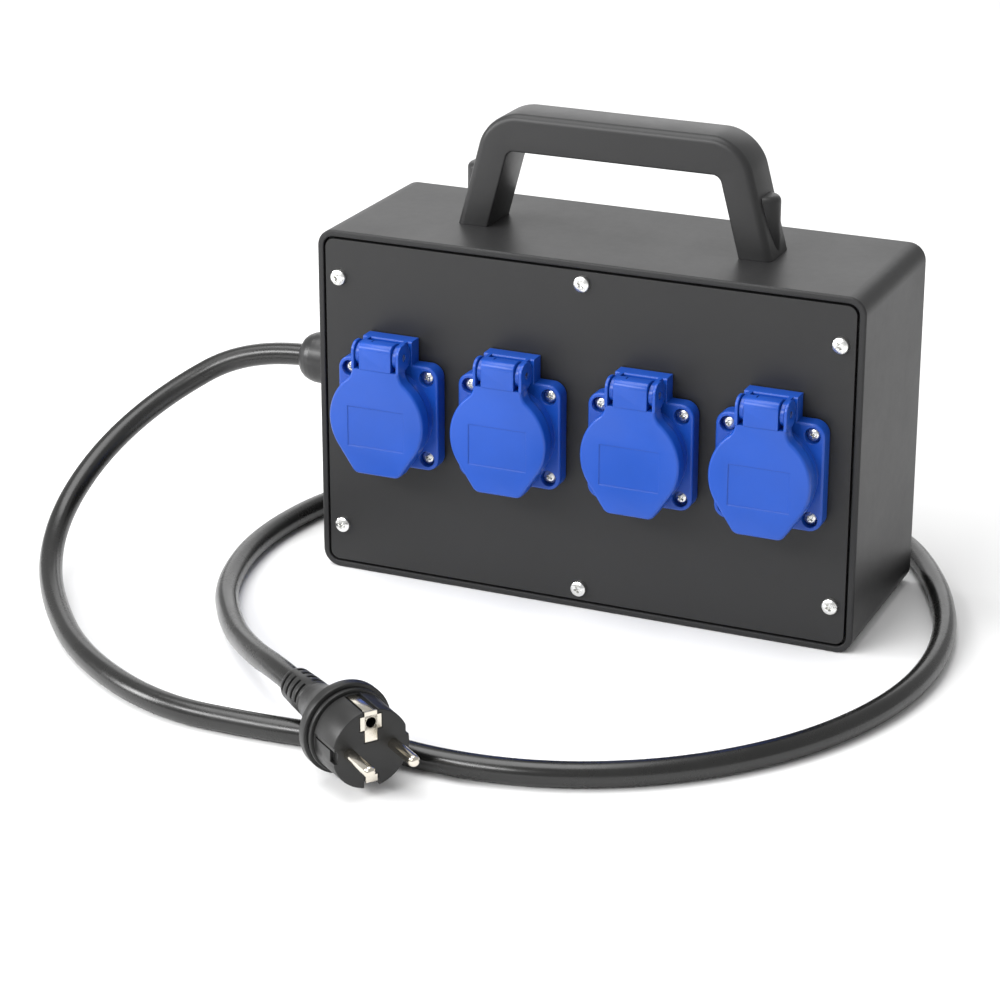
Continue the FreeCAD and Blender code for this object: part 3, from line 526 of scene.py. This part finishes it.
def screw_head(radius, height):
    """Pan head with a cross recess; its underside is at the origin and its top faces -Y."""
    head = spun([(0.0, 0.0), (0.0, radius), (0.30 * height, radius), (0.62 * height, radius * 0.93),
                 (0.86 * height, radius * 0.70), (0.97 * height, radius * 0.38), (height, 0.0)], 40)
    arm = radius * 0.60
    thick = radius * 0.17
    cutters = []
    for turn in (0, 90):
        slot = block((height * 0.35, -arm, -thick), (height * 1.4, arm, thick))
        deep = [v for v in slot.verts if v.co.x < height * 0.5]
        bmesh.ops.scale(slot, verts=deep, vec=(1, 0.45, 0.6))
        cutters.append(turned(slot, Matrix.Rotation(math.radians(turn), 4, "X")))
    return turned(carved(head, cutters), Matrix.Rotation(math.radians(-90), 4, "Z"))


def screws(name, places, radius, height, seat, stands_for):
    """A group of like screws, each with its recess turned a different way."""
    one = screw_head(radius, height)
    parts = []
    for number, (x, z) in enumerate(places):
        turn = Matrix.Rotation(math.radians(18 + 47 * number), 4, "Y")
        parts.append(turned(one.copy(), Matrix.Translation((x, seat, z)) @ turn))
    one.free()
    return shown(name, gathered(*parts), steel_look(), "box", stands_for, 28.0)


# ---------------------------------------------------------------- pieces

CAMERA_PLACE = (0.4585, -1.1681, 0.5311)
CAMERA_ANGLES = (21.99, 19.71, 0.68)

# Each light's name, place, the point it faces, its width and height, and its power in watts.
LIGHTS = (
    ("top_light", (-0.35, -0.15, 1.6), (0, 0, 0.05), 1.3, 1.3, 20.0),
    ("front_light", (-0.65, -1.4, 1.0), (0, -0.15, 0.0), 1.4, 0.35, 22.0),
    ("left_light", (-1.7, -0.8, 0.72), (-0.24, -0.07, 0.03), 0.5, 0.6, 16.0),
    ("back_light", (-0.9, 2.3, 0.95), (0, 0, 0.12), 2.4, 1.3, 11.0),
)


def make_camera():
    """Camera in front, to the right and above; its shift sets the object off the frame's middle."""
    azimuth, elevation, roll = (math.radians(angle) for angle in CAMERA_ANGLES)
    back = Vector((math.sin(azimuth) * math.cos(elevation), -math.cos(azimuth) * math.cos(elevation),
                   math.sin(elevation)))
    level = Vector((math.cos(azimuth), math.sin(azimuth), 0.0))
    upright = back.cross(level)
    right = level * math.cos(roll) + upright * math.sin(roll)
    up = upright * math.cos(roll) - level * math.sin(roll)
    data = bpy.data.cameras.new("camera")
    data.sensor_width = 36.0
    data.lens = 105.86
    data.shift_x = -0.0914
    data.shift_y = -0.0943
    data.clip_start = 0.01
    data.clip_end = 50.0
    camera = bpy.data.objects.new("camera", data)
    turn = Matrix((right, up, back)).transposed().to_4x4()
    camera.matrix_world = Matrix.Translation(CAMERA_PLACE) @ turn
    bpy.context.scene.collection.objects.link(camera)
    bpy.context.scene.camera = camera


def make_light(name, place, aim, width, height, power):
    data = bpy.data.lights.new(name, "AREA")
    data.shape = "RECTANGLE"
    data.size = width
    data.size_y = height
    data.energy = power
    lamp = bpy.data.objects.new(name, data)
    lamp.location = place
    lamp.rotation_mode = "QUATERNION"
    lamp.rotation_quaternion = (Vector(aim) - Vector(place)).to_track_quat("-Z", "Y")
    bpy.context.scene.collection.objects.link(lamp)


def make_floor():
    """Pale floor, a hair below the object's lowest point."""
    bm = bmesh.new()
    bmesh.ops.create_grid(bm, x_segments=1, y_segments=1, size=6.0)
    bmesh.ops.translate(bm, verts=bm.verts[:], vec=(0, 0, -0.0002))
    mesh = bpy.data.meshes.new("floor")
    bm.to_mesh(mesh)
    bm.free()
    floor = bpy.data.objects.new("floor", mesh)
    bpy.context.scene.collection.objects.link(floor)
    pale = bpy.data.materials.new("pale_floor")
    pale.use_nodes = True
    shader = pale.node_tree.nodes["Principled BSDF"]
    shader.inputs["Base Color"].default_value = (0.92, 0.92, 0.92, 1.0)
    shader.inputs["Roughness"].default_value = 0.9
    shader.inputs["Specular IOR Level"].default_value = 0.1
    mesh.materials.append(pale)


def make_stage():
    """Floor, white surroundings and four soft lights."""
    make_floor()
    world = bpy.data.worlds.new("studio")
    world.use_nodes = True
    background = world.node_tree.nodes["Background"]
    background.inputs["Color"].default_value = (1, 1, 1, 1)
    background.inputs["Strength"].default_value = 0.55
    bpy.context.scene.world = world
    for light in LIGHTS:
        make_light(*light)
    bpy.context.scene.view_settings.view_transform = "Standard"


def make_cable():
    data = bpy.data.curves.new("cable_line", "CURVE")
    data.dimensions = "3D"
    line = data.splines.new("NURBS")
    line.points.add(len(CABLE_POINTS) - 1)
    for point, place in zip(line.points, CABLE_POINTS):
        point.co = (*place, 1.0)
    line.order_u = 3
    line.use_endpoint_u = True
    line.resolution_u = CURVE_STEPS
    data.resolution_u = CURVE_STEPS
    data.render_resolution_u = CURVE_STEPS
    data.bevel_depth = sizes().cable_diameter / 2
    data.bevel_resolution = 8
    data.use_fill_caps = True
    data.materials.append(cable_look())
    cable = bpy.data.objects.new("cable_line", data)
    bpy.context.scene.collection.objects.link(cable)
    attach(cable, "box")
    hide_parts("cable")
    return cable


def in_metres(profile):
    return [(x * MM, radius * MM) for x, radius in profile]


def earth_hole(start, end, radius):
    """Round cutter on the plug's face, where the upper earth plate has its hole."""
    return turned(rod(start * MM, end * MM, radius * MM, 32), Matrix.Translation((0, 0, EARTH_RISE * MM)))


def make_plug_body():
    """Moulded plug: tail, grip ring with a low step in front of it, and a round nose with grooves."""
    body = soften(spun(in_metres(PLUG_PROFILE)), 0.0005, 3, 40.0)
    cutters = [mm_block(*ends) for ends in PLUG_CUTS]
    cutters.append(earth_hole(8, 22, 2.5))
    body = turned(carved(body, cutters), PLUG_PLACE)
    return shown("plug_shell", body, plug_look(), "box", ["plug_body"], 32.0)


def make_earth_plates():
    """The two bent earth plates: a strip along the nose and a tongue on its face."""
    hole = earth_hole(18, 24, 2.2)
    upper_strip = soften(mm_block(4.9, 20.6, -2.1, 2.1, 15.05, 15.85), 0.0002, 2)
    upper_tongue = carved(mm_block(20.6, 21.5, -2.7, 2.7, 3.3, 16.05), [hole.copy()])
    wings = carved(mm_block(20.6, 21.5, -4.55, 4.55, 8.4, 14.2), [hole])
    lower_strip = soften(mm_block(4.9, 20.6, -2.6, 2.6, -14.3, -13.3), 0.0002, 2)
    lower_tongue = soften(mm_block(20.6, 21.5, -2.6, 2.6, -14.3, -11.2), 0.0002, 2)
    parts = (upper_strip, upper_tongue, wings, lower_strip, lower_tongue)
    plates = turned(gathered(*parts), PLUG_PLACE)
    return shown("earth_plates", plates, nickel_look(), "box", ["plug_earth_contacts"], 30.0)


def make_strain_relief():
    """Flexible sleeve with four rows of flat-floored slots, left joined by four ribs lengthways."""
    wide, long, deep = SLOT_SIZE
    slots = []
    for row in range(SLOT_ROWS):
        middle = SLOT_FIRST - row * SLOT_PITCH
        for quarter in range(4):
            slot = mm_block(middle - wide, middle + wide, -long, long, deep, 10.0)
            turn = Matrix.Rotation(math.radians(SLOT_TURN + 90 * quarter), 4, "X")
            slots.append(turned(slot, turn))
    sleeve = carved(spun(in_metres(RELIEF_PROFILE)), [gathered(*slots)])
    soften(sleeve, 0.00030, 2, 50.0)
    turned(sleeve, PLUG_PLACE)
    return shown("strain_sleeve", sleeve, plug_look(), "box", ["plug_strain_relief"])


def lid_corners(radius, low, neck):
    """Corners of the lid's outline, and how far each one's rounding reaches along its sides.

    The round part is an arc between two straight sides below it, which lean in to the finger edge,
    and two above it, which lean in to the neck."""
    low_side, high_side = math.radians(34), math.radians(50)
    foot = (radius - low * math.sin(low_side)) / math.cos(low_side)
    nape = (radius - neck * math.cos(high_side)) / math.sin(high_side)
    half, middle = (low_side + high_side) / 2, (high_side - low_side) / 2
    side = (radius / math.cos(half) * math.cos(middle), radius / math.cos(half) * math.sin(middle))
    round_side = radius * math.tan(half) * NEARLY
    round_foot, round_nape = 0.0020, 0.0030
    corners = ((-foot, -low), (foot, -low), side, (neck, nape), (neck, LID_TOP), (-neck, LID_TOP),
               (-neck, nape), (-side[0], side[1]))
    return corners, (round_foot, round_foot, round_side, round_nape, 0, 0, round_nape, round_side)


def lid_plate():
    """Flat part of the lid: hollow at the back, rounded in front, with the sunk blank field."""
    size = sizes()
    corners, reaches = lid_corners(size.lid_radius, size.lid_low, size.lid_neck)
    plate = slab(corners, reaches, LID_BACK - LID_FRONT, 20)
    back = max(plate.faces, key=lambda f: f.calc_center_median().z)
    bmesh.ops.inset_region(plate, faces=[back], thickness=LID_WALL, depth=0.0, use_even_offset=True)
    bmesh.ops.translate(plate, verts=list(back.verts), vec=(0, 0, -LID_HOLLOW))

    def front_edge(edge):
        lowest = min(v.co.y for v in edge.verts)
        return all(v.co.z < TINY for v in edge.verts) and lowest < LID_TOP - 1e-5

    soften(plate, size.lid_edge, 4, 40.0, front_edge)
    field = block((*FIELD_LOW, -0.001), (*FIELD_HIGH, FIELD_DEPTH))
    return stood(carved(plate, [field]), LID_FRONT)


def hinge_part(start, end, brow):
    """The part of the lid that goes round the hinge pin from start to end, with a rounded brow."""
    reach = HINGE_Y - LID_FRONT
    foot = LID_TOP - 0.0001
    # Up the front, over the pin, down behind it, and back to the top of the neck.
    corners = ((LID_FRONT, foot), (LID_FRONT, HINGE_RISE + reach), (HINGE_Y + reach, HINGE_RISE + reach),
               (HINGE_Y + reach, HINGE_RISE - 0.0040), (HINGE_Y + 0.0015, foot))
    part = slab(corners, (0, brow, reach * NEARLY, 0.002, 0), end - start, 12)

    def end_edge(edge):
        first, second = (v.co for v in edge.verts)
        return min(first.y, second.y) > LID_TOP + 0.0003 and abs(first.z - second.z) < TINY

    soften(part, 0.0004, 2, 60.0, end_edge)
    return turned(part, Matrix(((0, 0, 1, start), (1, 0, 0, 0), (0, 1, 0, 0), (0, 0, 0, 1))))


def hinge_barrel():
    """Middle part of the hinge, with an L-shaped slot in its top."""
    left, slot_y, floor, above = -0.0037, -0.0575, HINGE_RISE + 0.0044, 0.040
    return carved(hinge_part(-BARREL_HALF, BARREL_HALF, BARREL_BROW), [
        block((left, slot_y - 0.00025, floor), (0.0070, slot_y + 0.00025, above)),
        block((left, slot_y - 0.0040, floor), (left + 0.0005, slot_y, above))])


def hinge_ear(start, end, outer):
    """Ear at one end of the hinge, with a shallow dimple over the pin on its outer face."""
    dimple = turned(rod(-0.0004, 0.0004, 0.0017, 28), Matrix.Translation((outer, HINGE_Y, HINGE_RISE)))
    return carved(hinge_part(start, end, EAR_BROW), [dimple])


def make_lid(number):
    """Round lid with a finger edge, a neck, a hinge barrel and two ears, and a sunk blank field."""
    neck = sizes().lid_neck
    lid = gathered(lid_plate(), hinge_barrel(), hinge_ear(-neck, -EAR_INNER, -neck),
                   hinge_ear(EAR_INNER, neck, neck))
    turned(lid, Matrix.Translation((SOCKET_X[number - 1], 0, SOCKET_Z)))
    return shown("lid_cover_%d" % number, lid, blue_look(), "socket_lid_%d" % number,
                 ["lid_%d" % number], 32.0)


def make_handle_bar():
    """Two leaning legs and the bridge between them."""
    size = sizes()
    high = HANDLE_HEIGHT
    under = high - BRIDGE_THICKNESS
    out_top = LEG_OUTER - LEG_LEAN * high
    in_top = LEG_INNER - LEG_LEAN * under
    reach = math.tan(math.radians(HALF_TURN))
    inner, outer = INNER_CORNER * reach, OUTER_CORNER * reach
    corners = ((-LEG_OUTER, 0), (-LEG_INNER, 0), (-in_top, under), (in_top, under), (LEG_INNER, 0),
               (LEG_OUTER, 0), (out_top, high), (-out_top, high))
    bar = slab(corners, (0, 0, inner, inner, 0, 0, outer, outer), size.handle_depth, 14)

    def rim(edge, outside):
        first, second = (v.co for v in edge.verts)
        if abs(first.z - second.z) > TINY or max(first.y, second.y) < 1e-5:
            return False
        middle = (first + second) / 2
        line = (LEG_OUTER + LEG_INNER) / 2 - LEG_LEAN * middle.y
        return (abs(middle.x) > line or middle.y > (high + under) / 2) == outside

    soften(bar, size.handle_edge, 4, 40.0, lambda edge: rim(edge, True))
    soften(bar, 0.0008, 3, 60.0, lambda edge: rim(edge, False))
    stood(bar, -size.handle_depth / 2, BOX_TOP)
    shown("handle_bar", bar, handle_look(), "box", ["handle"], 30.0)


def make_handle_boss(side, name):
    """Round boss that stands on the box at the outside of a leg."""
    boss = rod(0.0, BOSS_LENGTH, BOSS_RADIUS, 48)
    soften(boss, 0.0028, 5, 40.0, lambda edge: min(v.co.x for v in edge.verts) > 0.02)
    place = Matrix.Translation((side * BOSS_START, 0, BOX_TOP + BOSS_RISE))
    turned(boss, place @ Matrix.Rotation(math.radians(-90), 4, "Y"))
    shown("handle_boss_" + name, boss, handle_look(), "box", ["handle_cap_" + name])


# ---------------------------------------------------------------- operators

class POWERBOX_OT_stage(bpy.types.Operator):
    """Makes the camera, the floor and the lights"""
    bl_idname = "powerbox.stage"
    bl_label = "Stage"

    def execute(self, context):
        make_camera()
        make_stage()
        return {"FINISHED"}


class POWERBOX_OT_cable(bpy.types.Operator):
    """Makes the cable, its plug and the plug's strain relief"""
    bl_idname = "powerbox.cable"
    bl_label = "Cable and plug"

    def execute(self, context):
        cable = make_cable()
        pieces = [make_plug_body(), make_strain_relief(), make_earth_plates()]
        paint(nickel_look(), "plug_pins")
        pieces.append(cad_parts["plug_pins"])
        return {"FINISHED"}


class POWERBOX_OT_enclosure(bpy.types.Operator):
    """Finishes the enclosure, the front panel and the gasket, and makes the panel's screws"""
    bl_idname = "powerbox.enclosure"
    bl_label = "Enclosure"

    def execute(self, context):
        paint(shell_look(), "enclosure_shell")
        paint(panel_look(), "front_panel")
        paint(rubber_look(), "panel_gasket", "flange_gaskets")
        across, up = CORNER_SCREW
        places = [(sx * across, PANEL_MIDDLE + sz * up) for sz in (1, -1) for sx in (-1, 1)]
        places += [(0.0, PANEL_MIDDLE + sz * MIDDLE_SCREW) for sz in (1, -1)]
        screws("panel_screw_heads", places, sizes().panel_screw, PANEL_HEAD_HEIGHT, PANEL_FRONT,
               ["panel_screws"])
        return {"FINISHED"}


class POWERBOX_OT_sockets(bpy.types.Operator):
    """Finishes the four sockets and makes their screws"""
    bl_idname = "powerbox.sockets"
    bl_label = "Sockets"

    def execute(self, context):
        for number in NUMBERS:
            paint(blue_look(), "socket_housing_%d" % number)
            paint(insert_look(), "socket_insert_%d" % number)
            paint(brass_look(), "socket_contacts_%d" % number)
            paint(nickel_look(), "earth_contact_%d" % number)
            paint(rubber_look(), "lid_seal_%d" % number)
        paint(steel_look(), "hinge_pins", "lid_springs", "socket_nuts")
        places = [(cx + sx * SOCKET_SCREW, SOCKET_Z + sz * SOCKET_SCREW) for cx in SOCKET_X
                  for sx in (-1, 1) for sz in (-1, 1)]
        screws("socket_screw_heads", places, sizes().socket_screw, SOCKET_HEAD_HEIGHT, POCKET_FLOOR,
               ["socket_screws"])
        return {"FINISHED"}


class POWERBOX_OT_lids(bpy.types.Operator):
    """Makes the four hinged lids"""
    bl_idname = "powerbox.lids"
    bl_label = "Lids"

    def execute(self, context):
        for number in NUMBERS:
            make_lid(number)
        return {"FINISHED"}


class POWERBOX_OT_handle(bpy.types.Operator):
    """Makes the handle and its two screw bosses"""
    bl_idname = "powerbox.handle"
    bl_label = "Handle"

    def execute(self, context):
        make_handle_bar()
        for side, name in ((-1, "left"), (1, "right")):
            make_handle_boss(side, name)
        paint(steel_look(), "handle_screws", "handle_washers", "handle_nuts")
        return {"FINISHED"}


class POWERBOX_OT_gland(bpy.types.Operator):
    """Finishes the cable gland and the cable's end inside it"""
    bl_idname = "powerbox.gland"
    bl_label = "Gland"

    def execute(self, context):
        paint(gland_look(), "gland_body", "gland_dome_nut", "gland_lock_nut")
        paint(rubber_look(), "gland_washer", "gland_seal")
        paint(cable_look(), "cable_tail")
        return {"FINISHED"}


class POWERBOX_OT_inside(bpy.types.Operator):
    """Finishes the terminal block and the wiring inside the box"""
    bl_idname = "powerbox.inside"
    bl_label = "Inside"

    def execute(self, context):
        paint(block_look(), "terminal_block")
        paint(brass_look(), "terminal_inserts")
        paint(steel_look(), "terminal_screws")
        for wire, finish, base in WIRES:
            paint(wire_look(finish, base), wire)
        return {"FINISHED"}


class POWERBOX_PT_panel(bpy.types.Panel):
    """Lists the steps that build the power distribution box"""
    bl_idname = "POWERBOX_PT_panel"
    bl_label = "Power distribution box"
    bl_space_type = "VIEW_3D"
    bl_region_type = "UI"
    bl_category = "Power Box"

    def draw(self, context):
        layout = self.layout
        for step in STEPS:
            layout.operator(step.bl_idname)
        for group in (context.scene.power_box.sizes, context.scene.power_box.colours):
            column = layout.column(align=True)
            for name in group.__annotations__:
                column.prop(group, name)


STEPS = (POWERBOX_OT_stage, POWERBOX_OT_cable, POWERBOX_OT_enclosure, POWERBOX_OT_sockets,
         POWERBOX_OT_lids, POWERBOX_OT_handle, POWERBOX_OT_gland, POWERBOX_OT_inside)
CLASSES = (PowerBoxColours, PowerBoxSizes, PowerBoxSettings, *STEPS, POWERBOX_PT_panel)


def register():
    for cls in CLASSES:
        bpy.utils.register_class(cls)
    bpy.types.Scene.power_box = PointerProperty(type=PowerBoxSettings)


def unregister():
    del bpy.types.Scene.power_box
    for cls in reversed(CLASSES):
        bpy.utils.unregister_class(cls)


def main():
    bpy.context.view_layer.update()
    register()
    for step in STEPS:
        group, name = step.bl_idname.split(".")
        done = getattr(getattr(bpy.ops, group), name)()
        if done != {"FINISHED"}:
            raise RuntimeError("%s did not finish" % step.bl_idname)


if __name__ == "__main__":
    main()
